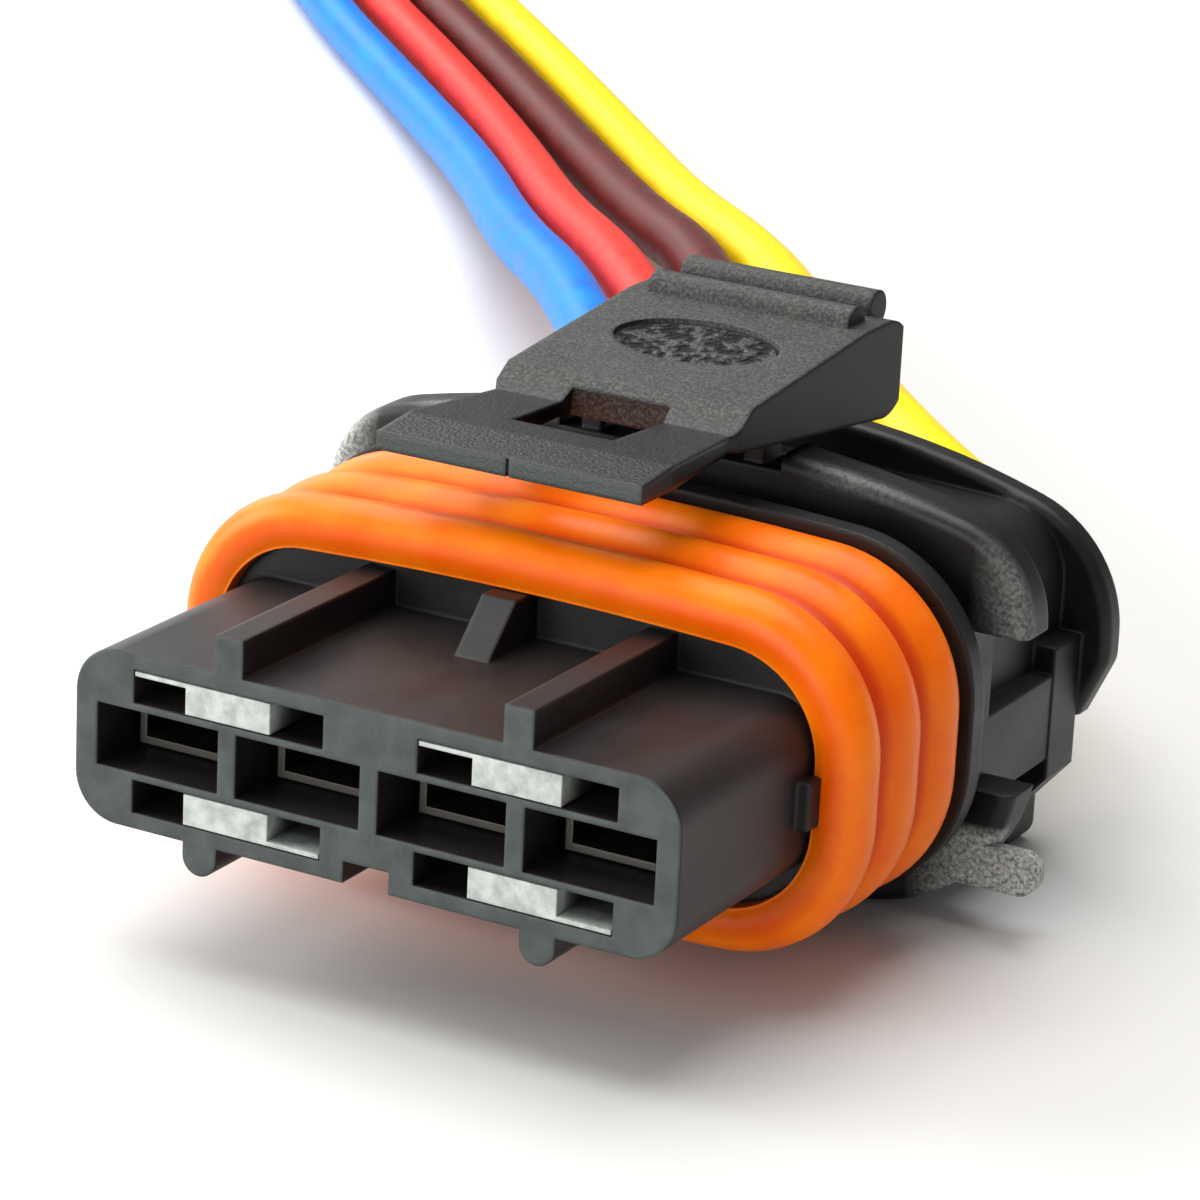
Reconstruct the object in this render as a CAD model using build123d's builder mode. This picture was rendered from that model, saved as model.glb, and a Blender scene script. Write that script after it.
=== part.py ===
"""Four-way sealed connector for an ignition coil, with its short wire pigtail.

Millimetres. X runs along the contact row, Y runs back from the mating face, Z is up.
The origin is the middle of the mating face, between the second and third contact.
"""
import math
import os

from build123d import *

os.makedirs("parts", exist_ok=True)

# Contact row and the cavities in the mating face
contact_count = 4
contact_pitch = 5.0
cavity_width = 4.38
cavity_height = 2.02
cavity_depth = 4.6

# Windows above and below each pair of cavities, filled by the secondary lock
window_width = 6.75
window_near = 1.23
window_far = 2.30
lock_bar_width = 3.0
lock_bar_clearance = 0.05
lock_strip_height = 0.14
lock_strip_width = 1.9
lock_travel = 1.5

# Nose
nose_width = 20.9
nose_height = 5.6
nose_corner = 1.5
nose_wall = 0.5
top_rib_width = 1.0
top_rib_height = 1.2
bottom_rib_spacing = 11.8
bottom_rib_width = 1.2
bottom_rib_height = 1.0
side_rib_width = 1.5
side_rib_height = 0.45
side_rib_start = 7.2
key_notch_width = 1.6
key_notch_depth = 0.7
key_notch_length = 4.0
gusset_width = 1.2
gusset_start = 5.7
gusset_rise = 1.55

# Seal carrier and collar behind it
carrier_start = 8.6
carrier_length = 6.8
carrier_half_width = 10.62
carrier_half_height = 4.4
carrier_crown = 0.4
carrier_corner = 3.2
collar_height = 1.7
collar_thickness = 0.8
neck_length = 1.5
neck_depth = 1.3

# Perimeter seal
seal_crest_height = 1.6
seal_valley_height = 0.95
seal_rear_height = 0.9
seal_rib_count = 3
seal_crest_lead = 0.25
seal_rear_run = 1.11
seal_valley_share = 0.25
seal_front_overhang = 0.6
seal_front_lip = 0.08

# Guard wall behind the seal
wall_half_width = 12.9
wall_top = 7.3
wall_bottom = 7.2
wall_crown = 1.9
wall_corner = 3.4
wall_lower_corner = 5.6
wall_thickness = 1.6
wall_edge_round = 0.45
wall_gap_top = 2.7
wall_gap_bottom = 2.5
ear_half_width = 13.85
ear_top = 4.3
ear_height = 1.4
ear_thickness = 0.65

# Body between the guard wall and the rear flange
body_half_width = 10.35
body_top = 4.5
body_bottom = 5.4
body_crown = 0.3
body_corner = 2.4
rail_half_width = 11.1
rail_top = 0.6
rail_height = 2.9
grip_length = 6.9
block_start_from_flange = 2.0
block_half_width = 11.15
block_length = 2.0
block_top = 0.3
block_corner = 0.7
block_side_bottom = 4.2
block_foot_top = 5.6
block_foot_half_width = 9.95

# Rear flange and the wire tower
flange_half_width = 12.1
flange_top = 5.85
flange_crown = 2.6
flange_shoulder = 4.4
flange_side_bottom = 0.6
flange_foot_half_width = 11.2
flange_foot = 2.6
flange_corner = 1.0
flange_thickness = 0.9
flange_edge_round = 0.35
tower_length = 0.5
tower_wall = 0.7
tower_corner = 2.5

# Latch lever, its window and its grip
lever_lip_front = 7.4
lever_lip_bottom = 8.15
lever_lip_height = 0.58
lever_lip_half_width = 4.65
lever_lip_length = 1.9
lever_plate_top = 8.92
lever_plate_drop = 0.24
lever_waist_half_width = 4.2
lever_step_start = 13.85
lever_step_length = 1.0
lever_step_rise = 0.68
lever_pad_half_width = 4.4
lever_pad_rise = 0.75
lever_pad_end = 24.2
lever_pad_flat = 1.6
lever_end_radius = 1.62
lever_end_y = 25.9
lever_end_drop_top = 8.45
lever_skirt_low = 6.85
lever_skirt_high = 7.65
lever_skirt_start = 15.6
lever_skirt_thickness = 0.8
lever_pad_thickness = 1.1
lever_end_wall = 0.9
lever_window_start = 10.75
lever_window_length = 3.7
lever_window_width = 3.5
lever_window_taper = -12
lever_parting_groove = 0.12
thumb_dish_length = 3.7
thumb_dish_width = 5.75
thumb_dish_depth = 0.16
thumb_dish_centre = 19.2
grip_rib_radius = 0.62
grip_rib_half_width = 3.7
grip_rib_stand = 0.6
grip_rib_first = 23.2
grip_rib_pitch = 1.9
grip_rib_step = 0.12
grip_rib_taper = 0.18

# Torsion bar that carries the lever on the guard wall
bar_radius = 0.5
bar_clearance = 0.05
bar_height = 7.75
boss_wall = 0.45
boss_half_width = 2.5
boss_web_height = 1.1
post_clearance = 0.12
post_thickness = 0.7
post_cap = 0.62
post_length = 1.2
saddle_drop = 0.7
saddle_side_clearance = 0.35

# Contacts, their steel cages and crimps
contact_front = 1.6
contact_box_width = 3.4
contact_box_height = 1.36
contact_box_length = 7.0
contact_wall = 0.25
contact_strip = 0.35
contact_neck_width = 1.6
contact_blade_width = 1.8
contact_blade_gap = 0.12
contact_blade_start = 0.9
contact_blade_flat = 1.2
cage_wall = 0.18
cage_fit = 0.03
cage_front_gap = 0.7
cage_rear_gap = 1.1
cage_tongue_width = 1.3
cage_tongue_length = 2.4
cage_tongue_slot = 0.25
core_crimp_start = 11.2
core_crimp_length = 2.6
core_crimp_wall = 0.3
seal_crimp_start = 15.6
seal_crimp_length = 2.4
seal_crimp_wall = 0.3

# Wires and their seals
wire_radius = 1.25
core_radius = 0.62
core_front_gap = 0.5
wire_start = 15.3
bore_radius = 2.15
bore_start = 15.0
wire_seal_neck_radius = 1.6
wire_seal_start = 15.5
wire_seal_neck_length = 3.0
wire_seal_length = 9.0
wire_seal_ribs = 3
wire_seal_rib_depth = 0.35
wire_seal_rib_length = 1.1
wire_seal_end_gap = 0.45
strip_length = 6.0

# Routes of the four wires from the tower, left to right, as points (x, y, z)
wire_routes = [
    [(-7.5, 29.9, 0), (-8.1, 32.4, 0), (-9.5, 35.3, 0), (-13.4, 40.1, 0), (-20.1, 48.9, -0.3),
     (-27.6, 59.2, -1.2), (-35.5, 68.8, -2.6), (-47.1, 85.1, -4.57), (-61.2, 101.4, -5.72),
     (-76.3, 117.4, -5.94), (-85.4, 128.1, -5.94)],
    [(-2.5, 29.8, 0), (-3.1, 32.2, 0), (-4.5, 34.9, 0), (-8.2, 39.3, 0), (-14.9, 47.4, -0.2),
     (-22.6, 57.2, -0.9), (-29.3, 66.3, -1.95), (-36.9, 75.4, -3.24), (-48.7, 91.6, -5.06),
     (-62.3, 107.6, -5.87), (-76.9, 122.8, -5.94), (-85.0, 132.3, -5.94)],
    [(2.5, 29.7, 0), (1.9, 32.0, 0), (0.6, 34.5, 0), (-3.0, 38.4, 0), (-9.4, 45.5, -0.08),
     (-17.6, 55.6, -0.6), (-25.3, 67.0, -1.5), (-32.6, 75.8, -2.99), (-45.1, 92.0, -4.95),
     (-59.3, 108.8, -5.86), (-73.9, 124.0, -5.94), (-81.8, 133.0, -5.94)],
    [(7.5, 29.7, 0), (6.9, 31.9, 0), (5.6, 34.1, 0), (2.1, 37.5, 0), (-4.0, 43.7, -0.02),
     (-12.6, 54.4, -0.55), (-22.0, 67.2, -1.3), (-33.6, 81.4, -3.48), (-45.1, 96.6, -5.13),
     (-59.4, 113.4, -5.88), (-73.1, 127.9, -5.94), (-82.6, 138.3, -5.94)],
]

# Fits
slide_clearance = 0.1

# Places that follow from the sizes above
row_middle = (contact_count - 1) / 2
row_x = [(index - row_middle) * contact_pitch for index in range(contact_count)]
pair_x = [(row_x[2 * pair] + row_x[2 * pair + 1]) / 2 for pair in range(contact_count // 2)]
nose_top = nose_height / 2
cage_length = contact_box_length - cage_front_gap - cage_rear_gap
seal_front = carrier_start - seal_front_overhang
seal_rib_pitch = (carrier_length - seal_crest_lead - seal_rear_run) / (seal_rib_count - 1)
seal_crests = [carrier_start + seal_crest_lead + rib * seal_rib_pitch for rib in range(seal_rib_count)]
carrier_end = carrier_start + carrier_length
collar_end = carrier_end + collar_thickness
wall_start = collar_end + neck_length
wall_end = wall_start + wall_thickness
flange_start = wall_end + grip_length
flange_end = flange_start + flange_thickness
block_start = flange_start - block_start_from_flange
tower_end = flange_end + tower_length
tower_half_width = row_x[-1] + bore_radius + tower_wall
tower_half_height = bore_radius + tower_wall
lock_plate_end = carrier_start - 0.8
lock_plate_thickness = 1.4
chamber_end = lock_plate_end + slide_clearance
chamber_width = nose_width - 2 * nose_wall
chamber_height = nose_height - 2 * nose_wall
bar_y = wall_start + wall_thickness / 2
plate_bottom = lever_lip_bottom


def station(y):
    """Plane across the connector at depth y, with its own y axis up."""
    return Plane.XZ.offset(-y)


def crowned_outline(half_width, top, bottom, crown, sag, corner, lower_corner):
    """Rounded oblong whose top bows up by the crown and whose bottom bows down by the sag."""
    with BuildSketch(mode=Mode.PRIVATE) as outline:
        with BuildLine():
            ThreePointArc((-half_width, top - crown), (0, top), (half_width, top - crown))
            Line((half_width, top - crown), (half_width, sag - bottom))
            if sag > 0:
                ThreePointArc((half_width, sag - bottom), (0, -bottom), (-half_width, sag - bottom))
            else:
                Line((half_width, -bottom), (-half_width, -bottom))
            Line((-half_width, sag - bottom), (-half_width, top - crown))
        make_face()
        fillet(outline.vertices().group_by(Axis.Y)[-1], corner)
        fillet(outline.vertices().group_by(Axis.Y)[0], lower_corner)
    return outline.sketch


carrier_outline = crowned_outline(
    carrier_half_width, carrier_half_height, carrier_half_height,
    carrier_crown, carrier_crown, carrier_corner, carrier_corner)

# Guard wall: an arched plate, open at both sides, with an ear at each lower corner
with BuildPart() as guard_wall:
    with BuildSketch(station(wall_start)):
        add(crowned_outline(wall_half_width, wall_top, wall_bottom, wall_crown, 0,
                            wall_corner, wall_lower_corner))
    extrude(amount=-wall_thickness)
    wall_front_rim = guard_wall.faces().sort_by(Axis.Y)[0].edges()
    fillet(wall_front_rim, wall_edge_round)
    with BuildSketch(station(wall_start)):
        for side in (-1, 1):
            with Locations((side * wall_half_width, (wall_gap_top - wall_gap_bottom) / 2)):
                Rectangle(2 * (wall_half_width - rail_half_width), wall_gap_top + wall_gap_bottom)
    extrude(amount=-wall_thickness, mode=Mode.SUBTRACT)
    with BuildSketch(station(wall_start)):
        with Locations((0, -ear_top - ear_height / 2)):
            RectangleRounded(2 * ear_half_width, ear_height, 0.45 * ear_height)
    extrude(amount=-ear_thickness)
    # saddle under the lever, where the torsion bar's posts stand
    with BuildSketch(station(wall_start)):
        with Locations((0, wall_top - saddle_drop)):
            Rectangle(2 * (lever_pad_half_width - saddle_side_clearance), 2 * saddle_drop,
                      align=(Align.CENTER, Align.MIN))
    extrude(amount=-wall_thickness, mode=Mode.SUBTRACT)

# Rear flange: arched on top, drawn in below
with BuildPart() as rear_flange:
    with BuildSketch(station(flange_start)) as flange_sketch:
        with BuildLine():
            shoulder_height = flange_top - flange_crown
            ThreePointArc((-flange_half_width, shoulder_height), (0, flange_top),
                          (flange_half_width, shoulder_height))
            Polyline(
                (flange_half_width, shoulder_height),
                (flange_half_width, -flange_side_bottom),
                (flange_foot_half_width, -flange_foot),
                (-flange_foot_half_width, -flange_foot),
                (-flange_half_width, -flange_side_bottom),
                (-flange_half_width, shoulder_height),
            )
        make_face()
        fillet(flange_sketch.vertices().group_by(Axis.Y)[-1], flange_shoulder)
        fillet(flange_sketch.vertices().group_by(Axis.Y)[1], flange_corner)
    extrude(amount=-flange_thickness)
    flange_front_rim = rear_flange.faces().sort_by(Axis.Y)[0].edges()
    fillet(flange_front_rim.filter_by(lambda edge: edge.center().Z > -flange_foot + 0.1), flange_edge_round)

# Housing: nose, seal carrier, guard wall, body, rear flange and wire tower in one moulding
with BuildPart() as housing:
    with BuildSketch(station(0)):
        RectangleRounded(nose_width, nose_height, nose_corner)
    extrude(amount=-carrier_start)
    # two keying ribs on top, over the middle of each pair
    with BuildSketch(station(0)):
        with Locations(*[(x, nose_top - nose_wall) for x in pair_x]):
            Rectangle(top_rib_width, top_rib_height + nose_wall, align=(Align.CENTER, Align.MIN))
    extrude(amount=-carrier_start)
    # two round-tipped ribs below
    with BuildSketch(station(0)):
        with GridLocations(bottom_rib_spacing, 1, 2, 1):
            with Locations((0, -nose_top - bottom_rib_height + bottom_rib_width / 2)):
                Circle(bottom_rib_width / 2)
                Rectangle(bottom_rib_width, bottom_rib_height, align=(Align.CENTER, Align.MIN))
    extrude(amount=-carrier_start)
    # ribs at the root of the nose on both sides
    with BuildSketch(station(side_rib_start)):
        Rectangle(nose_width + 2 * side_rib_height, side_rib_width)
    extrude(amount=-(seal_front - side_rib_start))
    # ramped gusset in the middle of the top
    with BuildSketch(Plane.YZ):
        Polygon(
            (gusset_start, nose_top - nose_wall),
            (gusset_start, nose_top),
            (gusset_start + gusset_rise, nose_top + gusset_rise),
            (carrier_start, nose_top + gusset_rise),
            (carrier_start, nose_top - nose_wall),
            align=None,
        )
    extrude(amount=gusset_width / 2, both=True)
    # seal carrier, collar and neck
    with BuildSketch(station(carrier_start)):
        add(carrier_outline)
    extrude(amount=-(wall_start - carrier_start))
    with BuildSketch(station(carrier_end)):
        offset(carrier_outline, amount=collar_height)
    extrude(amount=-collar_thickness)
    add(guard_wall.part)
    # body that joins the guard wall to the rear flange, and on into the wire tower
    with BuildSketch(station(wall_start)):
        add(crowned_outline(body_half_width, body_top, body_bottom, body_crown, body_crown,
                            body_corner, body_corner))
    extrude(amount=-(flange_end - wall_start))
    # side rails between the guard wall and the rear block
    with BuildSketch(station(wall_start)):
        with Locations((0, -rail_top)):
            Rectangle(2 * rail_half_width, rail_height, align=(Align.CENTER, Align.MAX))
    extrude(amount=-(flange_start - wall_start))
    # rear block with a shelf on each side and a foot that the part stands on
    with BuildSketch(station(block_start)) as block_sketch:
        with BuildLine():
            Polyline(
                (0, block_top),
                (block_half_width, block_top),
                (block_half_width, -block_side_bottom),
                (block_foot_half_width, -block_foot_top),
                (block_foot_half_width, -wall_bottom),
                (0, -wall_bottom),
                close=True,
            )
        make_face()
        foot_corner = block_sketch.vertices().group_by(Axis.Y)[0].sort_by(Axis.X)[-1]
        fillet(foot_corner, block_corner)
        mirror(about=Plane.YZ)
    extrude(amount=-block_length)
    add(rear_flange.part)
    with BuildSketch(station(flange_end)):
        RectangleRounded(2 * tower_half_width, 2 * tower_half_height, tower_corner)
    extrude(amount=-tower_length)
    # torsion bar on two posts
    with BuildSketch(station(bar_y - post_length / 2)):
        for side in (-1, 1):
            with Locations((side * (boss_half_width + post_clearance + post_thickness / 2),
                            wall_top - 2 * saddle_drop)):
                Rectangle(post_thickness, bar_height + post_cap - wall_top + 2 * saddle_drop,
                          align=(Align.CENTER, Align.MIN))
    extrude(amount=-post_length)
    with BuildSketch(Plane.YZ):
        with Locations((bar_y, bar_height)):
            Circle(bar_radius)
    extrude(amount=boss_half_width + post_clearance + post_thickness / 2, both=True)
    # cavities in the mating face
    with BuildSketch(station(0)):
        with GridLocations(contact_pitch, 1, contact_count, 1):
            Rectangle(cavity_width, cavity_height)
    extrude(amount=-bore_start, mode=Mode.SUBTRACT)
    # lock windows above and below each pair
    with BuildSketch(station(0)):
        for side in (-1, 1):
            with Locations(*[(x, side * (window_near + window_far) / 2) for x in pair_x]):
                Rectangle(window_width, window_far - window_near)
    extrude(amount=-cavity_depth, mode=Mode.SUBTRACT)
    # chamber that the lock's plate slides in
    with BuildSketch(station(cavity_depth)):
        Rectangle(chamber_width, chamber_height)
    extrude(amount=-(chamber_end - cavity_depth), mode=Mode.SUBTRACT)
    # keying notch under the nose
    with BuildSketch(station(0)):
        with Locations((0, -nose_top)):
            Rectangle(key_notch_width, 2 * key_notch_depth)
    extrude(amount=-key_notch_length, mode=Mode.SUBTRACT)
    # round bores for the wire seals
    with BuildSketch(station(bore_start)):
        with GridLocations(contact_pitch, 1, contact_count, 1):
            Circle(bore_radius)
    extrude(amount=-(tower_end - bore_start), mode=Mode.SUBTRACT)

housing.part.label = "housing"
export_step(housing.part, "parts/housing.step")

# Perimeter seal: three rounded ribs and a soft front lip, swept round the carrier
with BuildPart() as perimeter_seal:
    with BuildLine() as seal_path:
        add(station(0) * carrier_outline.wires()[0])
    path_start = seal_path.wires()[0] @ 0
    path_direction = seal_path.wires()[0] % 0
    # local x runs along Y and local y points away from the carrier
    with BuildSketch(Plane(origin=path_start, x_dir=(0, 1, 0), z_dir=-path_direction)):
        with BuildLine():
            TangentArc((seal_crests[0], seal_crest_height), (seal_front, seal_front_lip), tangent=(-1, 0))
            for crest_y in seal_crests[:-1]:
                valley_y = crest_y + seal_rib_pitch / 2
                turn_run = seal_rib_pitch / 2 * (1 - seal_valley_share)
                turn_drop = (seal_crest_height - seal_valley_height) * (1 - seal_valley_share)
                for side in (-1, 1):
                    crest_point = (valley_y + side * seal_rib_pitch / 2, seal_crest_height)
                    turn_point = (crest_point[0] - side * turn_run, seal_crest_height - turn_drop)
                    TangentArc(crest_point, turn_point, tangent=(-side, 0))
                    TangentArc((valley_y, seal_valley_height), turn_point, tangent=(side, 0))
            TangentArc((seal_crests[-1], seal_crest_height), (carrier_end, seal_rear_height), tangent=(1, 0))
            Polyline(
                (carrier_end, seal_rear_height),
                (carrier_end, 0),
                (seal_front, 0),
                (seal_front, seal_front_lip),
            )
        make_face()
    sweep(path=seal_path.wires()[0])

perimeter_seal.part.label = "perimeter_seal"
export_step(perimeter_seal.part, "parts/perimeter_seal.step")

# Secondary lock: a plate across all cavities with bars that reach the front windows
with BuildPart() as secondary_lock:
    with BuildSketch(station(lock_plate_end)):
        Rectangle(chamber_width - 2 * slide_clearance, chamber_height - 2 * slide_clearance)
    extrude(amount=lock_plate_thickness)
    with BuildSketch(station(0)):
        for side in (-1, 1):
            bar_height_here = window_far - window_near - 2 * lock_bar_clearance
            with Locations(*[(x, side * (window_near + window_far) / 2) for x in pair_x]):
                Rectangle(lock_bar_width, bar_height_here)
            strip_x = (window_width - lock_strip_width) / 2 - lock_bar_clearance
            strip_z = side * (window_far - lock_bar_clearance - lock_strip_height / 2)
            with Locations(*[(x + side * -strip_x, strip_z) for x in pair_x]):
                Rectangle(lock_strip_width, lock_strip_height)
    extrude(amount=-(lock_plate_end - lock_plate_thickness / 2))
    with BuildSketch(station(0)):
        with GridLocations(contact_pitch, 1, contact_count, 1):
            Rectangle(cavity_width, cavity_height)
    extrude(amount=-carrier_start, mode=Mode.SUBTRACT)

secondary_lock.part.label = "secondary_lock"
export_step(secondary_lock.part, "parts/secondary_lock.step")

# Latch lever: side outline and plan outline meet in one shell, hollow from below
pad_slope_height = lever_plate_top - lever_plate_drop + lever_step_rise + lever_pad_rise
pad_slope_end = (lever_pad_end - lever_pad_flat, pad_slope_height)
step_top = lever_plate_top - lever_plate_drop + lever_step_rise
with BuildPart() as latch_lever:
    with BuildSketch(Plane.YZ):
        with BuildLine():
            Polyline(
                (lever_pad_end, lever_skirt_low),
                (wall_start, lever_skirt_high),
                (lever_step_start, plate_bottom),
                (lever_lip_front, plate_bottom),
                (lever_lip_front, plate_bottom + lever_lip_height),
                (lever_lip_front + lever_lip_length, lever_plate_top),
                (lever_step_start, lever_plate_top - lever_plate_drop),
                (lever_step_start + lever_step_length, step_top),
                pad_slope_end,
                (lever_pad_end, pad_slope_end[1]),
            )
            ThreePointArc(
                (lever_pad_end, pad_slope_end[1]),
                (lever_end_y - 0.3 * lever_end_radius, pad_slope_end[1] - 0.3 * lever_end_radius),
                (lever_end_y, lever_end_drop_top),
            )
            ThreePointArc(
                (lever_end_y, lever_end_drop_top),
                (lever_end_y - 0.3 * lever_end_radius, lever_skirt_low + 0.3 * lever_end_radius),
                (lever_pad_end, lever_skirt_low),
            )
        make_face()
    extrude(amount=lever_lip_half_width, both=True)
    # plan outline: lip, waist and grip
    with BuildSketch(Plane.XY.offset(lever_skirt_low - 1)):
        with BuildLine():
            Polyline(
                (0, lever_lip_front - 1),
                (lever_lip_half_width, lever_lip_front - 1),
                (lever_lip_half_width, lever_lip_front + lever_lip_length),
                (lever_waist_half_width, lever_step_start - 0.1),
                (lever_pad_half_width, lever_step_start + 0.3),
                (lever_pad_half_width, lever_end_y - 0.6),
                (lever_pad_half_width - 0.4, lever_end_y + 0.2),
                (0, lever_end_y + 0.2),
                close=True,
            )
        make_face()
        mirror(about=Plane.YZ)
    extrude(amount=lever_lip_front, mode=Mode.INTERSECT)
    # hollow under the grip
    with BuildSketch(Plane.YZ):
        Polygon(
            (lever_skirt_start, lever_skirt_low - 1),
            (lever_skirt_start, step_top - lever_pad_thickness),
            (pad_slope_end[0], pad_slope_end[1] - lever_pad_thickness),
            (lever_end_y - lever_end_wall, pad_slope_end[1] - lever_pad_thickness - 0.4),
            (lever_end_y - lever_end_wall - 0.3, lever_skirt_low - 1),
            align=None,
        )
    extrude(amount=lever_pad_half_width - lever_skirt_thickness, both=True, mode=Mode.SUBTRACT)
    # window that takes the mating latch, with drafted side walls
    with BuildSketch(Plane.XY.offset(lever_plate_top + 0.1)):
        with Locations((0, lever_window_start + lever_window_length / 2)):
            Rectangle(lever_window_width, lever_window_length)
    extrude(amount=-2, taper=lever_window_taper, mode=Mode.SUBTRACT)
    # shallow parting groove down the lip
    with BuildSketch(Plane.XZ.offset(-lever_lip_front)):
        with Locations((0, plate_bottom)):
            Rectangle(lever_parting_groove, 2 * lever_lip_height)
    extrude(amount=-lever_parting_groove, mode=Mode.SUBTRACT)
    # oval thumb dish, sunk square to the sloping grip
    pad_slope_run = pad_slope_end[0] - lever_step_start - lever_step_length
    pad_slope = math.degrees(math.atan2(lever_pad_rise, pad_slope_run))
    dish_run = thumb_dish_centre - lever_step_start - lever_step_length
    dish_height = step_top + dish_run * math.tan(math.radians(pad_slope))
    dish_plane = Plane(origin=(0, thumb_dish_centre, dish_height), x_dir=(1, 0, 0),
                       z_dir=(0, -math.sin(math.radians(pad_slope)), math.cos(math.radians(pad_slope))))
    with BuildSketch(dish_plane):
        Ellipse(thumb_dish_width / 2, thumb_dish_length / 2)
    extrude(amount=-thumb_dish_depth, mode=Mode.SUBTRACT)
    # two half-round finger ribs
    for number in range(2):
        rib_y = grip_rib_first + number * grip_rib_pitch
        rib_z = pad_slope_end[1] + number * grip_rib_step - grip_rib_radius + grip_rib_stand
        with BuildSketch(Plane.YZ.offset(-grip_rib_half_width + number * grip_rib_taper)):
            with Locations((rib_y, rib_z)):
                Circle(grip_rib_radius)
        extrude(amount=2 * (grip_rib_half_width - number * grip_rib_taper))
    # hub round the torsion bar, hung from the grip on a web
    with BuildSketch(Plane.YZ):
        with Locations((bar_y, bar_height)):
            Circle(bar_radius + bar_clearance + boss_wall)
            Rectangle(2 * (bar_radius + bar_clearance + boss_wall), boss_web_height,
                      align=(Align.CENTER, Align.MIN))
    extrude(amount=boss_half_width, both=True)
    with BuildSketch(Plane.YZ):
        with Locations((bar_y, bar_height)):
            Circle(bar_radius + bar_clearance)
    extrude(amount=boss_half_width + 1, both=True, mode=Mode.SUBTRACT)

latch_lever.part.label = "latch_lever"
export_step(latch_lever.part, "parts/latch_lever.step")

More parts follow.
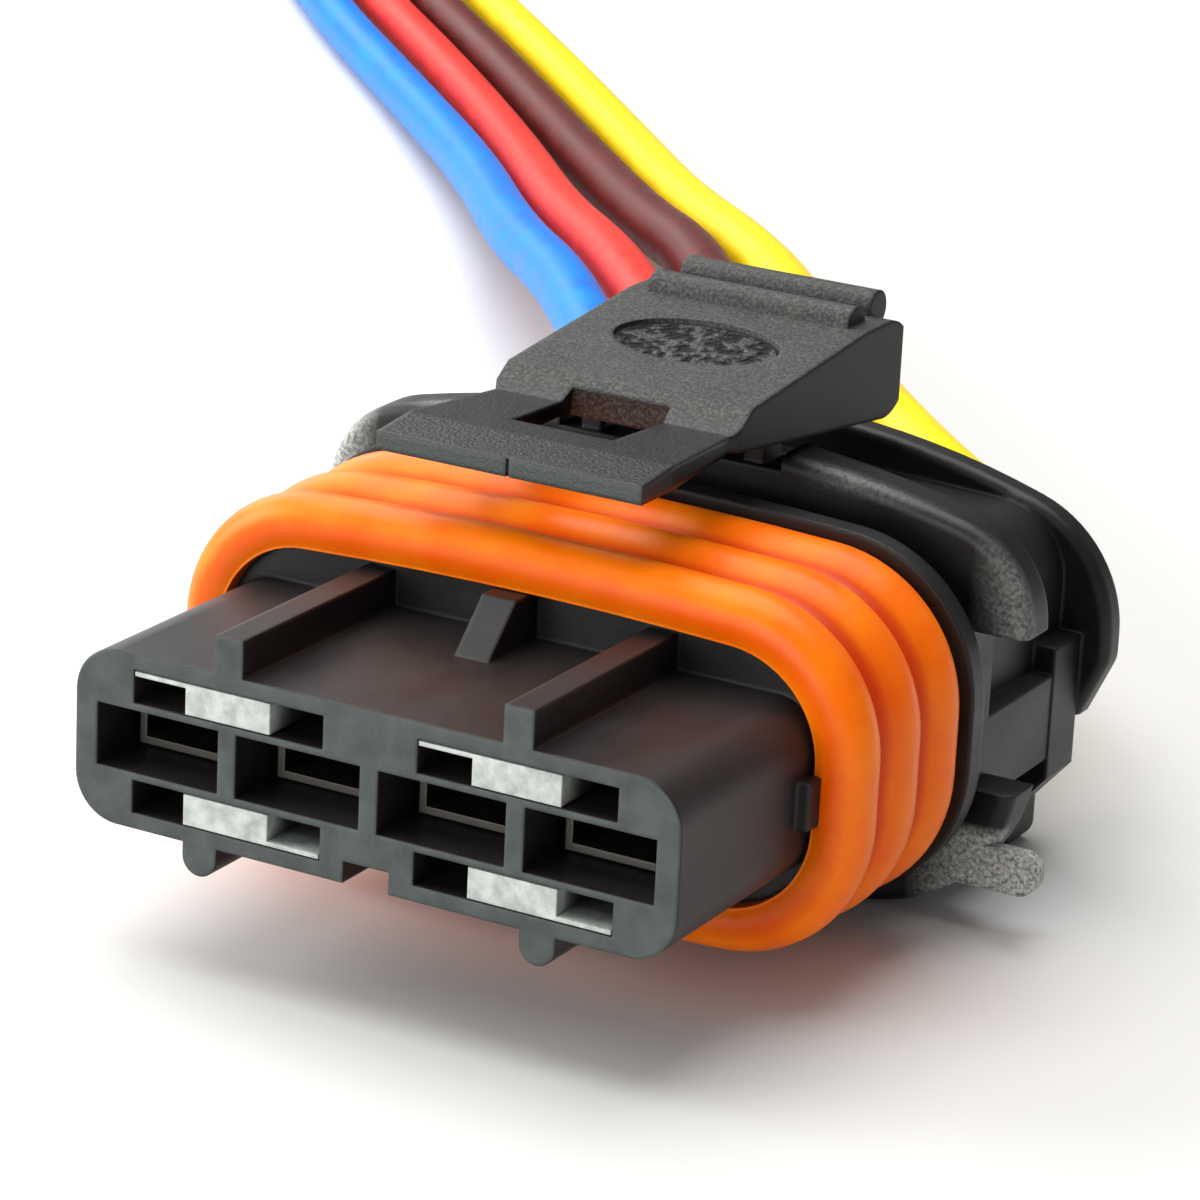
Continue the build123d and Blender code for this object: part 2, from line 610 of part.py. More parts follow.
# Contacts: a hollow box, a neck, the core crimp and the crimp on the seal's neck
box_bottom = contact_box_height / 2
strip_bottom = box_bottom + contact_strip / 2
blade_middle = contact_front + 0.45 * contact_box_length
strip_step = bore_start + 0.04
crimp_bottom = wire_seal_neck_radius + seal_crimp_wall
wire_rib_room = wire_seal_length - wire_seal_neck_length - 2 * wire_seal_end_gap - wire_seal_rib_length
wire_rib_pitch = wire_rib_room / (wire_seal_ribs - 1)
for number, x in enumerate(row_x, start=1):
    with BuildPart() as contact:
        with BuildSketch(station(contact_front)):
            with Locations((x, 0)):
                Rectangle(contact_box_width, contact_box_height)
                Rectangle(contact_box_width - 2 * contact_wall, contact_box_height - 2 * contact_wall,
                          mode=Mode.SUBTRACT)
        extrude(amount=-contact_box_length)
        # spring blade inside the box
        with BuildSketch(Plane.YZ.offset(x - contact_blade_width / 2)):
            Polygon(
                (contact_front + contact_blade_start, box_bottom - contact_wall),
                (blade_middle - contact_blade_flat / 2, contact_blade_gap),
                (blade_middle + contact_blade_flat / 2, contact_blade_gap),
                (contact_front + contact_box_length - contact_blade_start, box_bottom - contact_wall),
                align=None,
            )
        extrude(amount=contact_blade_width)
        # neck strip from the box to the core crimp
        with BuildSketch(Plane.YZ.offset(x - contact_neck_width / 2)):
            Polygon(
                (contact_front + contact_box_length - 1, -strip_bottom),
                (strip_step, -strip_bottom),
                (strip_step, 0.05 - crimp_bottom),
                (seal_crimp_start + 0.9, 0.05 - crimp_bottom),
                (seal_crimp_start + 0.9, -wire_seal_neck_radius - 0.02),
                (wire_start - 0.02, -wire_seal_neck_radius - 0.02),
                (wire_start - 0.02, contact_strip - strip_bottom),
                (contact_front + contact_box_length - 1, contact_strip - strip_bottom),
                align=None,
            )
        extrude(amount=contact_neck_width)
        with BuildSketch(station(core_crimp_start)):
            with Locations((x, 0)):
                Circle(core_radius + core_crimp_wall)
        extrude(amount=-core_crimp_length)
        with BuildSketch(station(seal_crimp_start)):
            with Locations((x, 0)):
                Circle(wire_seal_neck_radius + seal_crimp_wall)
        extrude(amount=-seal_crimp_length)
        with BuildSketch(station(seal_crimp_start)):
            with Locations((x, 0)):
                Circle(wire_seal_neck_radius)
        extrude(amount=-seal_crimp_length, mode=Mode.SUBTRACT)
        with BuildSketch(station(core_crimp_start - core_front_gap)):
            with Locations((x, 0)):
                Circle(core_radius)
        extrude(amount=-(seal_crimp_start - core_crimp_start + core_front_gap), mode=Mode.SUBTRACT)
    contact.part.label = f"contact_{number}"
    export_step(contact.part, f"parts/contact_{number}.step")

    # steel cage round the contact's box, with a locking tongue cut in its roof
    with BuildPart() as cage:
        cage_inner_width = contact_box_width + 2 * cage_fit
        cage_inner_height = contact_box_height + 2 * cage_fit
        with BuildSketch(station(contact_front + cage_front_gap)):
            with Locations((x, 0)):
                Rectangle(cage_inner_width + 2 * cage_wall, cage_inner_height + 2 * cage_wall)
                Rectangle(cage_inner_width, cage_inner_height, mode=Mode.SUBTRACT)
        extrude(amount=-cage_length)
        with BuildSketch(Plane.XY.offset(cage_inner_height / 2 + cage_wall)):
            with Locations((x, contact_front + cage_front_gap + cage_length / 2)):
                Rectangle(cage_tongue_width + 2 * cage_tongue_slot, cage_tongue_length + cage_tongue_slot)
            with Locations((x, contact_front + cage_front_gap + cage_length / 2 - cage_tongue_slot / 2)):
                Rectangle(cage_tongue_width, cage_tongue_length, mode=Mode.SUBTRACT)
        extrude(amount=-cage_wall, mode=Mode.SUBTRACT)
    cage.part.label = f"contact_cage_{number}"
    export_step(cage.part, f"parts/contact_cage_{number}.step")

    # ribbed seal on the wire
    with BuildPart() as wire_seal:
        with BuildSketch(station(wire_seal_start)):
            with Locations((x, 0)):
                Circle(wire_seal_neck_radius)
        extrude(amount=-wire_seal_neck_length)
        with BuildSketch(station(wire_seal_start + wire_seal_neck_length)):
            with Locations((x, 0)):
                Circle(bore_radius - wire_seal_rib_depth)
        extrude(amount=-(wire_seal_length - wire_seal_neck_length))
        for rib in range(wire_seal_ribs):
            rib_start = wire_seal_start + wire_seal_neck_length + wire_seal_end_gap + rib * wire_rib_pitch
            with BuildSketch(station(rib_start)):
                with Locations((x, 0)):
                    Circle(bore_radius)
            extrude(amount=-wire_seal_rib_length)
        with BuildSketch(station(wire_seal_start)):
            with Locations((x, 0)):
                Circle(wire_radius)
        extrude(amount=-wire_seal_length, mode=Mode.SUBTRACT)
    wire_seal.part.label = f"wire_seal_{number}"
    export_step(wire_seal.part, f"parts/wire_seal_{number}.step")

    # stripped strands inside the core crimp
    with BuildPart() as conductor:
        with BuildSketch(station(core_crimp_start - core_front_gap)):
            with Locations((x, 0)):
                Circle(core_radius)
        extrude(amount=-(wire_start - core_crimp_start + core_front_gap))
    conductor.part.label = f"conductor_{number}"
    export_step(conductor.part, f"parts/conductor_{number}.step")

# Wires: straight through the seal and tower, then runs joined by tangent arcs
for number, x in enumerate(row_x, start=1):
    route = [Vector(x, tower_end, 0)] + [Vector(*point) for point in wire_routes[number - 1]]
    runs = [(after - before) for before, after in zip(route[:-1], route[1:])]
    radii = []
    for before, after in zip(runs[:-1], runs[1:]):
        half_turn = math.radians(before.get_angle(after)) / 2
        radii.append(0.45 * min(before.length, after.length) / math.tan(half_turn))
    with BuildPart() as wire:
        with BuildLine() as wire_path:
            Line((x, wire_start, 0), (x, tower_end, 0))
            FilletPolyline(*route, radius=radii)
        with BuildSketch(station(wire_start)):
            with Locations((x, 0)):
                Circle(wire_radius)
        sweep(path=wire_path.line)
    wire.part.label = f"wire_{number}"
    export_step(wire.part, f"parts/wire_{number}.step")
    path_length = wire_path.wires()[0].length
    section_volume = math.pi * wire_radius ** 2 * path_length
    print(f"wire {number}: length {path_length:.1f}, radii", [round(radius, 1) for radius in radii],
          f"volume over section times length {wire.part.volume / section_volume:.4f}")

    # bare strands at the cut end
    with BuildPart() as wire_tip:
        with BuildSketch(Plane(origin=route[-1], z_dir=runs[-1].normalized())):
            Circle(core_radius)
        extrude(amount=strip_length)
    wire_tip.part.label = f"wire_tip_{number}"
    export_step(wire_tip.part, f"parts/wire_tip_{number}.step")
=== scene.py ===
"""Looks of the ignition coil connector: materials, wires, strands, light and camera."""
import math

import bmesh
import bpy
from mathutils import Matrix, Vector


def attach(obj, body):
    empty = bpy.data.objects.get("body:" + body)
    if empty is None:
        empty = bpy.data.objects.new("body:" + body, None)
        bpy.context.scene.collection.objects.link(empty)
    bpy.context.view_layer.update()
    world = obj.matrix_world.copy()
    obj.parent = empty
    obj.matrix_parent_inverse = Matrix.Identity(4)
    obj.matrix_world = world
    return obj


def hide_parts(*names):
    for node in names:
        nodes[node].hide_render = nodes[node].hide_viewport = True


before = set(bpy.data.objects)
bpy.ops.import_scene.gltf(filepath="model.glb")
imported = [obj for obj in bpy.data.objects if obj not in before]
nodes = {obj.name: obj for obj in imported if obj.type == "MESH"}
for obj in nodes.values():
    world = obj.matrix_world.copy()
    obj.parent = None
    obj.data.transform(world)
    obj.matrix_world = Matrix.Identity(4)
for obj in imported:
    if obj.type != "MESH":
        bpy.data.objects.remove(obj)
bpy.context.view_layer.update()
MM = 0.001


def add_object(name, data):
    made = bpy.data.objects.new(name, data)
    bpy.context.scene.collection.objects.link(made)
    return made


# camera: long lens, from the front right and a little above
CAMERA_AZIMUTH = math.radians(28.68)
CAMERA_ELEVATION = math.radians(18.62)
CAMERA_ROLL = math.radians(2.78)
CAMERA_DISTANCE = 140.96 * MM
CAMERA_TARGET = Vector((7.45, 0, 7.78)) * MM
SENSOR_WIDTH = 36
FOCAL_LENGTH = 149.67
CLIP_START = 10 * MM

back = Vector((math.sin(CAMERA_AZIMUTH) * math.cos(CAMERA_ELEVATION),
               -math.cos(CAMERA_AZIMUTH) * math.cos(CAMERA_ELEVATION),
               math.sin(CAMERA_ELEVATION)))
right = Vector((math.cos(CAMERA_AZIMUTH), math.sin(CAMERA_AZIMUTH), 0))
up = back.cross(right)
right_rolled = math.cos(CAMERA_ROLL) * right + math.sin(CAMERA_ROLL) * up
up_rolled = math.cos(CAMERA_ROLL) * up - math.sin(CAMERA_ROLL) * right
camera_data = bpy.data.cameras.new("camera")
camera_data.sensor_width = SENSOR_WIDTH
camera_data.sensor_fit = "HORIZONTAL"
camera_data.lens = FOCAL_LENGTH
camera_data.clip_start = CLIP_START
camera = add_object("camera", camera_data)
axes = Matrix((right_rolled, up_rolled, back)).transposed().to_4x4()
camera.matrix_world = Matrix.Translation(CAMERA_TARGET + CAMERA_DISTANCE * back) @ axes
bpy.context.scene.camera = camera

# wires: the same route points as the part, in millimetres
WIRE_RADIUS = 1.25
WIRE_START = 15.3
TOWER_END = 27.6
ROW_X = (-7.5, -2.5, 2.5, 7.5)
TUBE_LENGTHS = (140.6, 146.7, 148.3, 156.1)
ROUTES = (
    ((-7.5, 29.9, 0), (-8.1, 32.4, 0), (-9.5, 35.3, 0), (-13.4, 40.1, 0), (-20.1, 48.9, -0.3),
     (-27.6, 59.2, -1.2), (-35.5, 68.8, -2.6), (-47.1, 85.1, -4.57), (-61.2, 101.4, -5.72),
     (-76.3, 117.4, -5.94), (-85.4, 128.1, -5.94)),
    ((-2.5, 29.8, 0), (-3.1, 32.2, 0), (-4.5, 34.9, 0), (-8.2, 39.3, 0), (-14.9, 47.4, -0.2),
     (-22.6, 57.2, -0.9), (-29.3, 66.3, -1.95), (-36.9, 75.4, -3.24), (-48.7, 91.6, -5.06),
     (-62.3, 107.6, -5.87), (-76.9, 122.8, -5.94), (-85.0, 132.3, -5.94)),
    ((2.5, 29.7, 0), (1.9, 32.0, 0), (0.6, 34.5, 0), (-3.0, 38.4, 0), (-9.4, 45.5, -0.08),
     (-17.6, 55.6, -0.6), (-25.3, 67.0, -1.5), (-32.6, 75.8, -2.99), (-45.1, 92.0, -4.95),
     (-59.3, 108.8, -5.86), (-73.9, 124.0, -5.94), (-81.8, 133.0, -5.94)),
    ((7.5, 29.7, 0), (6.9, 31.9, 0), (5.6, 34.1, 0), (2.1, 37.5, 0), (-4.0, 43.7, -0.02),
     (-12.6, 54.4, -0.55), (-22.0, 67.2, -1.3), (-33.6, 81.4, -3.48), (-45.1, 96.6, -5.13),
     (-59.4, 113.4, -5.88), (-73.1, 127.9, -5.94), (-82.6, 138.3, -5.94)),
)
WIRE_SLOTS = ("wire_blue", "wire_red", "wire_brown", "wire_yellow")
WIRE_LENGTH_STEPS = 16
WIRE_ROUND_STEPS = 7

# strands: layers of reach from the middle, count and shift, with lengths as shares of the core's radius
CORE_RADIUS = 0.56
STRAND_LENGTH = 6.3
STRAND_BURIED = 0.4
STRAND_RADIUS_SHARE = 0.17
STRAND_LAYERS = ((0, 1, 0), (0.36, 6, 0), (0.72, 12, 0.5))
STRAND_RINGS = 12
STRAND_SIDES = 8
STRAND_TWIST = 1.5
STRAND_FAN = 0.22
STRAND_FAN_WOBBLE = 2.3
STRAND_LENGTH_SPREAD = 0.03
STRAND_LENGTH_WOBBLE = 1.7


def wire_curve(name, points):
    data = bpy.data.curves.new(name, "CURVE")
    data.dimensions = "3D"
    data.resolution_u = WIRE_LENGTH_STEPS
    data.bevel_depth = 1
    data.bevel_resolution = WIRE_ROUND_STEPS
    data.use_fill_caps = True
    spline = data.splines.new("NURBS")
    spline.points.add(len(points) - 1)
    for slot, (x, y, z) in zip(spline.points, points):
        slot.co = (x * MM, y * MM, z * MM, 1)
        slot.radius = WIRE_RADIUS * MM
    spline.order_u = 3
    spline.use_endpoint_u = True
    return add_object(name, data)


def strands(name, start, direction, core, length):
    """Bare strands twisted round one another, fanning a little at the cut."""
    turn = Vector((0, 0, 1)).rotation_difference(direction)
    mesh = bpy.data.meshes.new(name)
    bm = bmesh.new()
    places = [(reach, (k + shift) * 2 * math.pi / count)
              for reach, count, shift in STRAND_LAYERS for k in range(count)]
    for index, (reach, angle) in enumerate(places):
        rings = []
        fan_share = STRAND_FAN * (1 + 0.5 * math.sin(index * STRAND_FAN_WOBBLE))
        own_length = length * (1 - STRAND_LENGTH_SPREAD * math.cos(index * STRAND_LENGTH_WOBBLE))
        for step in range(STRAND_RINGS + 1):
            along = step / STRAND_RINGS
            out = reach * core * (1 + fan_share * along ** 3)
            spin = angle + STRAND_TWIST * along
            centre = Vector((out * math.cos(spin), out * math.sin(spin), own_length * along))
            ring = []
            for side in range(STRAND_SIDES):
                corner = side * 2 * math.pi / STRAND_SIDES
                offset = Vector((math.cos(corner), math.sin(corner), 0)) * STRAND_RADIUS_SHARE * core
                ring.append(bm.verts.new(start + turn @ (centre + offset)))
            rings.append(ring)
        for low, high in zip(rings[:-1], rings[1:]):
            for side in range(STRAND_SIDES):
                beside = (side + 1) % STRAND_SIDES
                bm.faces.new((low[side], low[beside], high[beside], high[side]))
        bm.faces.new(list(reversed(rings[0])))
        bm.faces.new(rings[-1])
    bmesh.ops.recalc_face_normals(bm, faces=bm.faces)
    bm.to_mesh(mesh)
    bm.free()
    for face in mesh.polygons:
        face.use_smooth = True
    return add_object(name, mesh)


wires = []
tips = []
for number, (x, route, tube, slot) in enumerate(zip(ROW_X, ROUTES, TUBE_LENGTHS, WIRE_SLOTS), start=1):
    points = ((x, WIRE_START, 0), (x, TOWER_END, 0)) + route
    wire = wire_curve(f"insulation_{number}", points)
    end = Vector(route[-1]) * MM
    heading = (Vector(route[-1]) - Vector(route[-2])).normalized()
    tip_start = end - STRAND_BURIED * MM * heading
    tip = strands(f"strands_{number}", tip_start, heading, CORE_RADIUS * MM, STRAND_LENGTH * MM)
    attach(wire, "connector")
    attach(tip, "connector")
    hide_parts(f"wire_{number}")
    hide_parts(f"wire_tip_{number}")
    wires.append(wire)
    tips.append(tip)


# materials
def srgb(r, g, b):
    def lin(c):
        c /= 255
        return c / 12.92 if c <= 0.04045 else ((c + 0.055) / 1.055) ** 2.4
    return (lin(r), lin(g), lin(b), 1)


class Surface:
    """Node tree of one material, worked in millimetres."""

    def __init__(self, name):
        self.material = bpy.data.materials.new(name)
        self.material.use_nodes = True
        self.tree = self.material.node_tree
        self.shader = self.tree.nodes["Principled BSDF"]
        coord = self.node("ShaderNodeTexCoord")
        scale = self.node("ShaderNodeVectorMath", operation="SCALE")
        scale.inputs["Scale"].default_value = 1 / MM
        self.tree.links.new(coord.outputs["Object"], scale.inputs[0])
        self.facing = coord.outputs["Normal"]
        self.mm = scale.outputs[0]
        self.normal = None

    def node(self, kind, **settings):
        made = self.tree.nodes.new(kind)
        for key, value in settings.items():
            setattr(made, key, value)
        return made

    def feed(self, socket, value):
        """Sets a plain value on a socket, or links another node's output to it."""
        if isinstance(value, (int, float, tuple)):
            socket.default_value = value
        else:
            self.tree.links.new(value, socket)

    def set(self, name, value):
        self.feed(self.shader.inputs[name], value)

    def parts(self, vector):
        made = self.node("ShaderNodeSeparateXYZ")
        self.feed(made.inputs[0], vector)
        return made.outputs

    def noise(self, scale, detail=3, rough=0.5, stretch=None):
        made = self.node("ShaderNodeTexNoise")
        made.inputs["Scale"].default_value = scale
        made.inputs["Detail"].default_value = detail
        made.inputs["Roughness"].default_value = rough
        source = self.mm
        if stretch:
            mapping = self.node("ShaderNodeMapping")
            mapping.inputs["Scale"].default_value = stretch
            self.feed(mapping.inputs["Vector"], self.mm)
            source = mapping.outputs[0]
        self.feed(made.inputs["Vector"], source)
        return made.outputs["Fac"]

    def span(self, value, low, high, to_low=0.0, to_high=1.0, smooth=False):
        made = self.node("ShaderNodeMapRange")
        if smooth:
            made.interpolation_type = "SMOOTHSTEP"
        made.inputs["From Min"].default_value = low
        made.inputs["From Max"].default_value = high
        made.inputs["To Min"].default_value = to_low
        made.inputs["To Max"].default_value = to_high
        self.feed(made.inputs["Value"], value)
        return made.outputs["Result"]

    def math(self, operation, *values):
        made = self.node("ShaderNodeMath", operation=operation)
        for socket, value in zip(made.inputs, values):
            self.feed(socket, value)
        return made.outputs[0]

    def product(self, total, *others):
        for other in others:
            total = self.math("MULTIPLY", total, other)
        return total

    def ramp(self, value, *stops):
        made = self.node("ShaderNodeValToRGB")
        for element, (place, colour) in zip(made.color_ramp.elements, stops):
            element.position = place
            element.color = colour
        self.feed(made.inputs["Fac"], value)
        return made.outputs["Color"]

    def mix(self, factor, a, b):
        made = self.node("ShaderNodeMix", data_type="RGBA")
        self.feed(made.inputs["Factor"], factor)
        self.feed(made.inputs[6], a)
        self.feed(made.inputs[7], b)
        return made.outputs[2]

    def round_edges(self, radius):
        made = self.node("ShaderNodeBevel")
        made.samples = 6
        made.inputs["Radius"].default_value = radius * MM
        self.normal = made.outputs[0]

    def bump(self, height, depth, strength=1.0):
        """Adds a relief of the given depth in millimetres on top of what is there."""
        made = self.node("ShaderNodeBump")
        made.inputs["Strength"].default_value = strength
        made.inputs["Distance"].default_value = depth * MM
        self.feed(made.inputs["Height"], height)
        if self.normal is not None:
            self.feed(made.inputs["Normal"], self.normal)
        self.normal = made.outputs[0]

    def dress(self, *objects):
        """Joins the relief to the shader and puts the finished material on the objects."""
        if self.normal is not None:
            self.set("Normal", self.normal)
        for obj in objects:
            obj.data.materials.clear()
            obj.data.materials.append(self.material)


def numbered(name):
    return [nodes[f"{name}_{number}"] for number in range(1, len(ROW_X) + 1)]


# moulded black plastic: satin nose with front faces painted paler as painted front light, painted shade
# darkening it behind the seal, pale grain on the wall's rim and on the ears, partly grain and partly painted
# light
# each pair is where a soft change starts and ends: in millimetres, in shares of the half width, or, for a
# TURN, in the part of the surface normal along one axis
FRONT_LIGHT_DEPTH = (0.6, 0.1)
FRONT_LIGHT_TURN = (-0.6, -0.95)
SHADE_BEHIND_SEAL = (15.2, 16.4)
WALL_HALF_WIDTH = 12.9
WALL_HALF_HEIGHT = 7.3
WALL_FRONT = (17.3, 17.6)
RIM_EDGE = (0.84, 0.96)
RIM_BACK = (18.5, 17.9)
RIM_FOOT = (-2.6, -1.8)
RIM_MIDDLE = (0.36, 0.5)
# the rim's pale specks fade towards the right: painted shade on the side away from the light
RIM_SHADE_RIGHT_TO_LEFT = (4.0, -7.0)
RIM_SHADED_RIGHT_SHARE = 0.3
# the ears' specks are painted paler than the grain alone: partly grain, partly painted light
EAR_TOP = (-3.6, -4.1)
EAR_INNER = (0.72, 0.86)
EAR_BACK = (18.9, 18.4)

housing = Surface("moulded_black")
housing.round_edges(0.2)
x_mm, y_mm, z_mm = housing.parts(housing.mm)
flow = housing.noise(scale=0.35, detail=4, rough=0.55, stretch=(1, 0.5, 1.6))
mottle = housing.noise(scale=0.9, detail=4, rough=0.6)
nose_tint = housing.ramp(flow, (0.3, srgb(24, 21, 21)), (0.7, srgb(35, 32, 31)))
# the nose's front faces get a paler tint: painted light from the front
front_light_tint = housing.ramp(mottle, (0.35, srgb(54, 60, 58)), (0.65, srgb(70, 76, 74)))
# behind the seal the tint turns darker: painted shade
rear_shade_tint = housing.ramp(flow, (0.3, srgb(10, 8, 8)), (0.7, srgb(17, 14, 13)))
painted_front_light = housing.product(
    housing.span(housing.parts(housing.facing)[1], *FRONT_LIGHT_TURN),
    housing.span(y_mm, *FRONT_LIGHT_DEPTH))
nose_tint = housing.mix(painted_front_light, nose_tint, front_light_tint)
tint = housing.mix(housing.span(y_mm, *SHADE_BEHIND_SEAL), nose_tint, rear_shade_tint)
wide = housing.math("DIVIDE", housing.math("ABSOLUTE", x_mm), WALL_HALF_WIDTH)
tall = housing.math("DIVIDE", z_mm, WALL_HALF_HEIGHT)
past_wall_front = housing.span(y_mm, *WALL_FRONT)
rim = housing.product(
    housing.span(housing.math("MAXIMUM", wide, tall), *RIM_EDGE),
    housing.span(y_mm, *RIM_BACK),
    past_wall_front,
    housing.span(z_mm, *RIM_FOOT),
    housing.span(wide, *RIM_MIDDLE),
    housing.span(x_mm, *RIM_SHADE_RIGHT_TO_LEFT, RIM_SHADED_RIGHT_SHARE, 1.0))
ears = housing.product(
    housing.span(z_mm, *EAR_TOP),
    housing.span(wide, *EAR_INNER),
    housing.span(y_mm, *EAR_BACK),
    past_wall_front)
grain_and_painted_light_area = housing.math("MAXIMUM", rim, ears)
sand = housing.noise(scale=6.5, detail=3, rough=0.65)
# pale specks: partly the grain, partly painted light on the ears and on the rim's left end
speck_and_painted_light = housing.product(housing.span(sand, 0.36, 0.62, 0.25, 1.0), grain_and_painted_light_area)
satin = housing.span(flow, 0.3, 0.7, 0.38, 0.5)
housing.set("Base Color", housing.mix(speck_and_painted_light, tint, srgb(196, 202, 196)))
housing.set("Specular IOR Level", 0.36)
housing.set("Roughness", housing.math("ADD", satin, housing.product(speck_and_painted_light, 0.2)))
housing.bump(flow, depth=0.05, strength=0.5)
housing.bump(housing.product(sand, grain_and_painted_light_area), depth=0.07, strength=0.9)
housing.bump(housing.noise(scale=14, detail=2), depth=0.012, strength=0.4)
housing.dress(nodes["housing"])

# lever: grained grip with a crusted oval thumb dish whose pits are painted black as painted shade, smoother
# plate, paler grained top and near-black side walls that are partly their own finish and partly painted sheen
# and painted shade, and a front lip painted paler as painted light
LIP_DEPTH = (8.2, 7.8)
LIP_TURN = (-0.5, -0.9)
SIDE_TURN = (0.85, 0.5)
GRIP_START = (13.7, 14.3)
DISH_CENTRE = 19.2
DISH_HALF_WIDTH = 2.88
DISH_HALF_LENGTH = 1.85
DISH_EDGE = (0.99, 0.9)
DISH_HEIGHT = (9.2, 9.3)

lever = Surface("grained_black")
lever.round_edges(0.24)
x_mm, y_mm, z_mm = lever.parts(lever.mm)
facing = lever.parts(lever.facing)
grain_and_painted_light_area = lever.span(lever.math("ABSOLUTE", facing[0]), *SIDE_TURN)
# the front-facing lip gets a paler colour: painted light
painted_light_on_lip = lever.product(lever.span(facing[1], *LIP_TURN), lever.span(y_mm, *LIP_DEPTH))
on_grip = lever.span(y_mm, *GRIP_START)
cloud = lever.noise(scale=0.6)
grip_base = lever.ramp(cloud, (0.3, srgb(28, 28, 27)), (0.75, srgb(42, 42, 40)))
top_base = lever.mix(on_grip, srgb(17, 17, 16), grip_base)
# top paler than the sides: partly the grain's own look, partly painted sheen on top and painted shade on the
# sides
base = lever.mix(grain_and_painted_light_area, srgb(5, 4, 4), top_base)
base = lever.mix(painted_light_on_lip, base, srgb(62, 66, 63))
sand = lever.noise(scale=8.5, rough=0.6)
fleck = lever.product(
    lever.span(sand, 0.42, 0.68),
    grain_and_painted_light_area,
    lever.span(on_grip, 0, 1, 0.15, 0.4))
across = lever.math("DIVIDE", x_mm, DISH_HALF_WIDTH)
along = lever.math("DIVIDE", lever.math("SUBTRACT", y_mm, DISH_CENTRE), DISH_HALF_LENGTH)
reach = lever.math("ADD", lever.product(across, across), lever.product(along, along))
in_dish = lever.product(lever.span(reach, *DISH_EDGE), lever.span(z_mm, *DISH_HEIGHT))
crust = lever.noise(scale=2.1, detail=2)
# black in the dish's low spots: painted shade in the pits
pit_shade = lever.product(lever.span(crust, 0.54, 0.44), in_dish)
speckled = lever.mix(fleck, base, srgb(112, 114, 109))
sheen = lever.span(on_grip, 0, 1, 0.34, 0.56)
lever.set("Base Color", lever.mix(pit_shade, speckled, srgb(4, 4, 4)))
lever.set("Specular IOR Level", 0.36)
lever.set("Roughness", lever.math("ADD", sheen, lever.product(pit_shade, 0.4)))
lever.bump(lever.product(sand, grain_and_painted_light_area), depth=0.04, strength=0.8)
lever.bump(lever.product(crust, in_dish), depth=0.6)
lever.dress(nodes["latch_lever"])

# orange silicone, paler on the crests and darker in the valleys between them, the valleys' darkening being
# painted shade
SEAL_FIRST_CREST, SEAL_PITCH = 8.85, 2.72

seal = Surface("orange_silicone")
y_mm = seal.parts(seal.mm)[1]
haze = seal.noise(scale=0.5)
turns = seal.math("DIVIDE", seal.math("SUBTRACT", y_mm, SEAL_FIRST_CREST), SEAL_PITCH)
wave = seal.math("COSINE", seal.product(turns, 2 * math.pi))
# darker, redder colour in the valleys: painted shade
valley_shade = seal.span(wave, -0.35, -1.0, smooth=True)
skin_tone = seal.ramp(haze, (0.25, srgb(244, 98, 0)), (0.75, srgb(252, 128, 0)))
seal.set("Base Color", seal.mix(valley_shade, skin_tone, srgb(212, 56, 2)))
seal.set("Roughness", seal.span(haze, 0.3, 0.7, 0.3, 0.42))
seal.set("Subsurface Weight", 0.18)
seal.set("Subsurface Radius", (1.0, 0.4, 0.1))
seal.set("Subsurface Scale", 0.6 * MM)
seal.set("Specular IOR Level", 0.2)
seal.bump(seal.noise(scale=0.9, detail=2), depth=0.02, strength=0.4)
seal.bump(seal.noise(scale=12, detail=2), depth=0.006, strength=0.5)
seal.dress(nodes["perimeter_seal"])

# white lock, darker where it runs back into the windows: painted shade
LOCK_SHADE = (0.4, 1.2)

lock = Surface("white_moulded")
lock.round_edges(0.08)
milk = lock.noise(scale=1.6, detail=4, rough=0.6)
milky = lock.ramp(milk, (0.35, srgb(150, 157, 151)), (0.62, srgb(190, 195, 190)))
# colour darkens with depth: painted shade in the windows
painted_shade_deep = lock.span(lock.parts(lock.mm)[1], *LOCK_SHADE, 0.0, 0.9)
lock.set("Base Color", lock.mix(painted_shade_deep, milky, srgb(58, 60, 58)))
lock.set("Roughness", 0.42)
lock.set("Subsurface Weight", 0.1)
lock.set("Subsurface Scale", 0.6 * MM)
lock.bump(lock.noise(scale=8, detail=2), depth=0.008, strength=0.5)
lock.dress(nodes["secondary_lock"])

# tinned contacts and steel cages: colour and lowest roughness; the contacts' colour is painted darker than
# tin as painted shade of the cavities
METALS = {
    # darker than tin: painted shade of the cavities
    "contact": (srgb(84, 82, 76), 0.34),
    "contact_cage": (srgb(150, 150, 148), 0.36),
}
ROUGHNESS_SPREAD = 0.16
for name, (colour, smoothest) in METALS.items():
    metal = Surface(name + "_metal")
    metal.round_edges(0.05)
    brush = metal.noise(scale=5, rough=0.6, stretch=(4, 0.4, 4))
    metal.set("Base Color", metal.mix(metal.span(brush, 0.3, 0.8), colour, srgb(104, 100, 92)))
    metal.set("Metallic", 1.0)
    metal.set("Roughness", metal.span(brush, 0.3, 0.7, smoothest, smoothest + ROUGHNESS_SPREAD))
    metal.bump(brush, depth=0.01, strength=0.5)
    metal.dress(*numbered(name))

# blue-grey silicone of the wire seals
wire_seal = Surface("seal_silicone")
veil = wire_seal.noise(scale=1.2)
wire_seal.set("Base Color", wire_seal.ramp(veil, (0.3, srgb(62, 96, 122)), (0.7, srgb(78, 114, 140))))
wire_seal.set("Roughness", 0.5)
wire_seal.bump(veil, depth=0.02, strength=0.5)
wire_seal.dress(*numbered("wire_seal"))

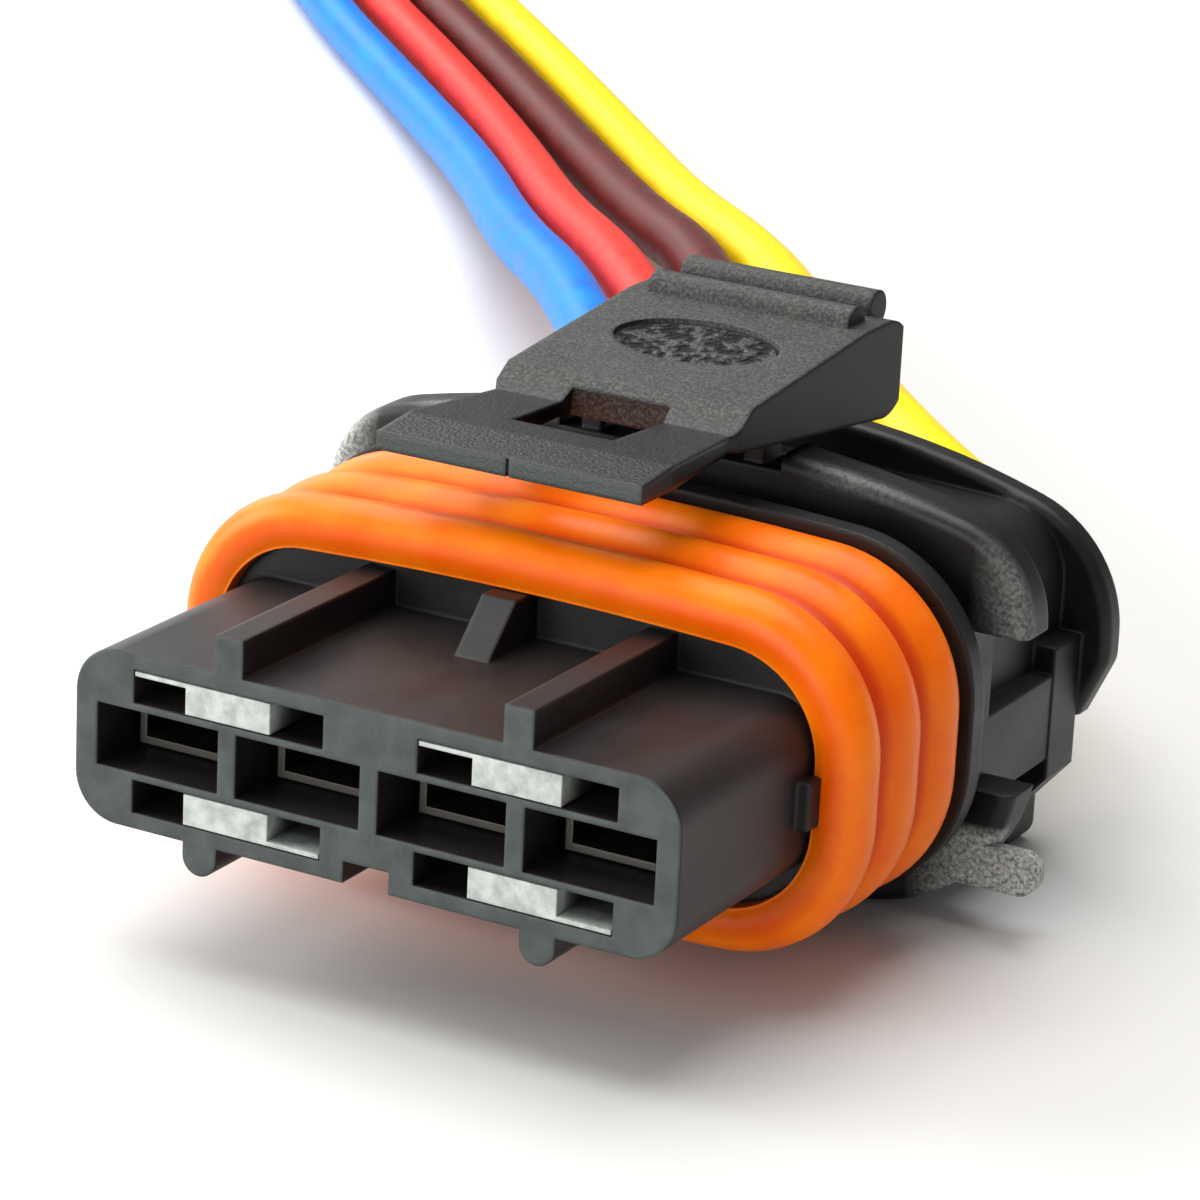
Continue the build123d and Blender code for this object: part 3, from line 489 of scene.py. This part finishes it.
# bare copper
copper = Surface("bare_copper")
tarnish = copper.noise(scale=2.5, rough=0.6)
copper.set("Base Color", copper.ramp(tarnish, (0.3, srgb(196, 112, 70)), (0.7, srgb(226, 150, 102))))
copper.set("Metallic", 1.0)
copper.set("Roughness", copper.span(tarnish, 0.3, 0.7, 0.25, 0.42))
copper.dress(*numbered("conductor"), *tips)

# insulation: satin, slightly uneven extrusion, with a darker and a lighter shade of each colour
INSULATION_COLOURS = (
    (srgb(2, 106, 212), srgb(6, 124, 228)),
    (srgb(212, 38, 28), srgb(228, 54, 38)),
    (srgb(76, 20, 17), srgb(94, 28, 23)),
    (srgb(242, 202, 2), srgb(250, 214, 6)),
)
for wire, slot, (dark, light) in zip(wires, WIRE_SLOTS, INSULATION_COLOURS):
    skin = Surface(slot)
    uneven = skin.noise(scale=0.5)
    skin.set("Base Color", skin.ramp(uneven, (0.3, dark), (0.7, light)))
    skin.set("Roughness", skin.span(uneven, 0.3, 0.7, 0.38, 0.5))
    skin.set("Specular IOR Level", 0.18)
    skin.set("Subsurface Weight", 0.06)
    skin.set("Subsurface Scale", 0.5 * MM)
    skin.bump(skin.noise(scale=1.4, detail=2), depth=0.03, strength=0.4)
    skin.dress(wire)

# floor, in metres apart from its height
FLOOR_Z = -7.2
FLOOR_REACH = 30.0
floor_mesh = bpy.data.meshes.new("floor")
floor_corners = [(x * FLOOR_REACH, y * FLOOR_REACH, 0) for x, y in ((-1, -1), (1, -1), (1, 1), (-1, 1))]
floor_mesh.from_pydata(floor_corners, [], [(0, 1, 2, 3)])
floor = add_object("floor", floor_mesh)
floor.location = (0, 0, FLOOR_Z * MM)
floor_surface = Surface("pale_floor")
floor_surface.set("Base Color", (0.64, 0.64, 0.63, 1))
floor_surface.set("Roughness", 0.7)
floor_surface.dress(floor)

# light: a wide sun, three square lamps aimed at the seal (place in mm, size in m, power in W) and a dim world
SUN_STRENGTH = 3.4
SUN_SPREAD = math.radians(60)
SUN_COLOUR = (1.0, 0.99, 0.98)
SUN_HEADING = (0.2, -0.1, -1)
LAMP_AIM = Vector((0, 10, 0))
LAMPS = (
    ("window", (-260, 170, 150), 0.22, 0.45, (0.99, 1.0, 1.0)),
    ("left", (-300, -90, 130), 0.2, 0.95, (1.0, 0.99, 0.97)),
    ("front", (-60, -330, 90), 0.22, 0.7, (0.98, 1.0, 1.0)),
)
WORLD_COLOUR = (0.96, 0.98, 1.0, 1)
WORLD_STRENGTH = 0.25


def point_lamp(lamp, heading):
    lamp.rotation_euler = heading.to_track_quat("-Z", "Y").to_euler()


sun = bpy.data.lights.new("above", "SUN")
sun.energy = SUN_STRENGTH
sun.angle = SUN_SPREAD
sun.color = SUN_COLOUR
point_lamp(add_object("above", sun), Vector(SUN_HEADING))
for name, place, size, power, colour in LAMPS:
    data = bpy.data.lights.new(name, "AREA")
    data.shape = "SQUARE"
    data.size = size
    data.energy = power
    data.color = colour
    lamp = add_object(name, data)
    lamp.location = Vector(place) * MM
    point_lamp(lamp, LAMP_AIM - Vector(place))

world = bpy.data.worlds.new("studio")
bpy.context.scene.world = world
world.use_nodes = True
world.node_tree.nodes["Background"].inputs["Color"].default_value = WORLD_COLOUR
world.node_tree.nodes["Background"].inputs["Strength"].default_value = WORLD_STRENGTH
bpy.context.scene.view_settings.view_transform = "Standard"

bpy.context.view_layer.update()
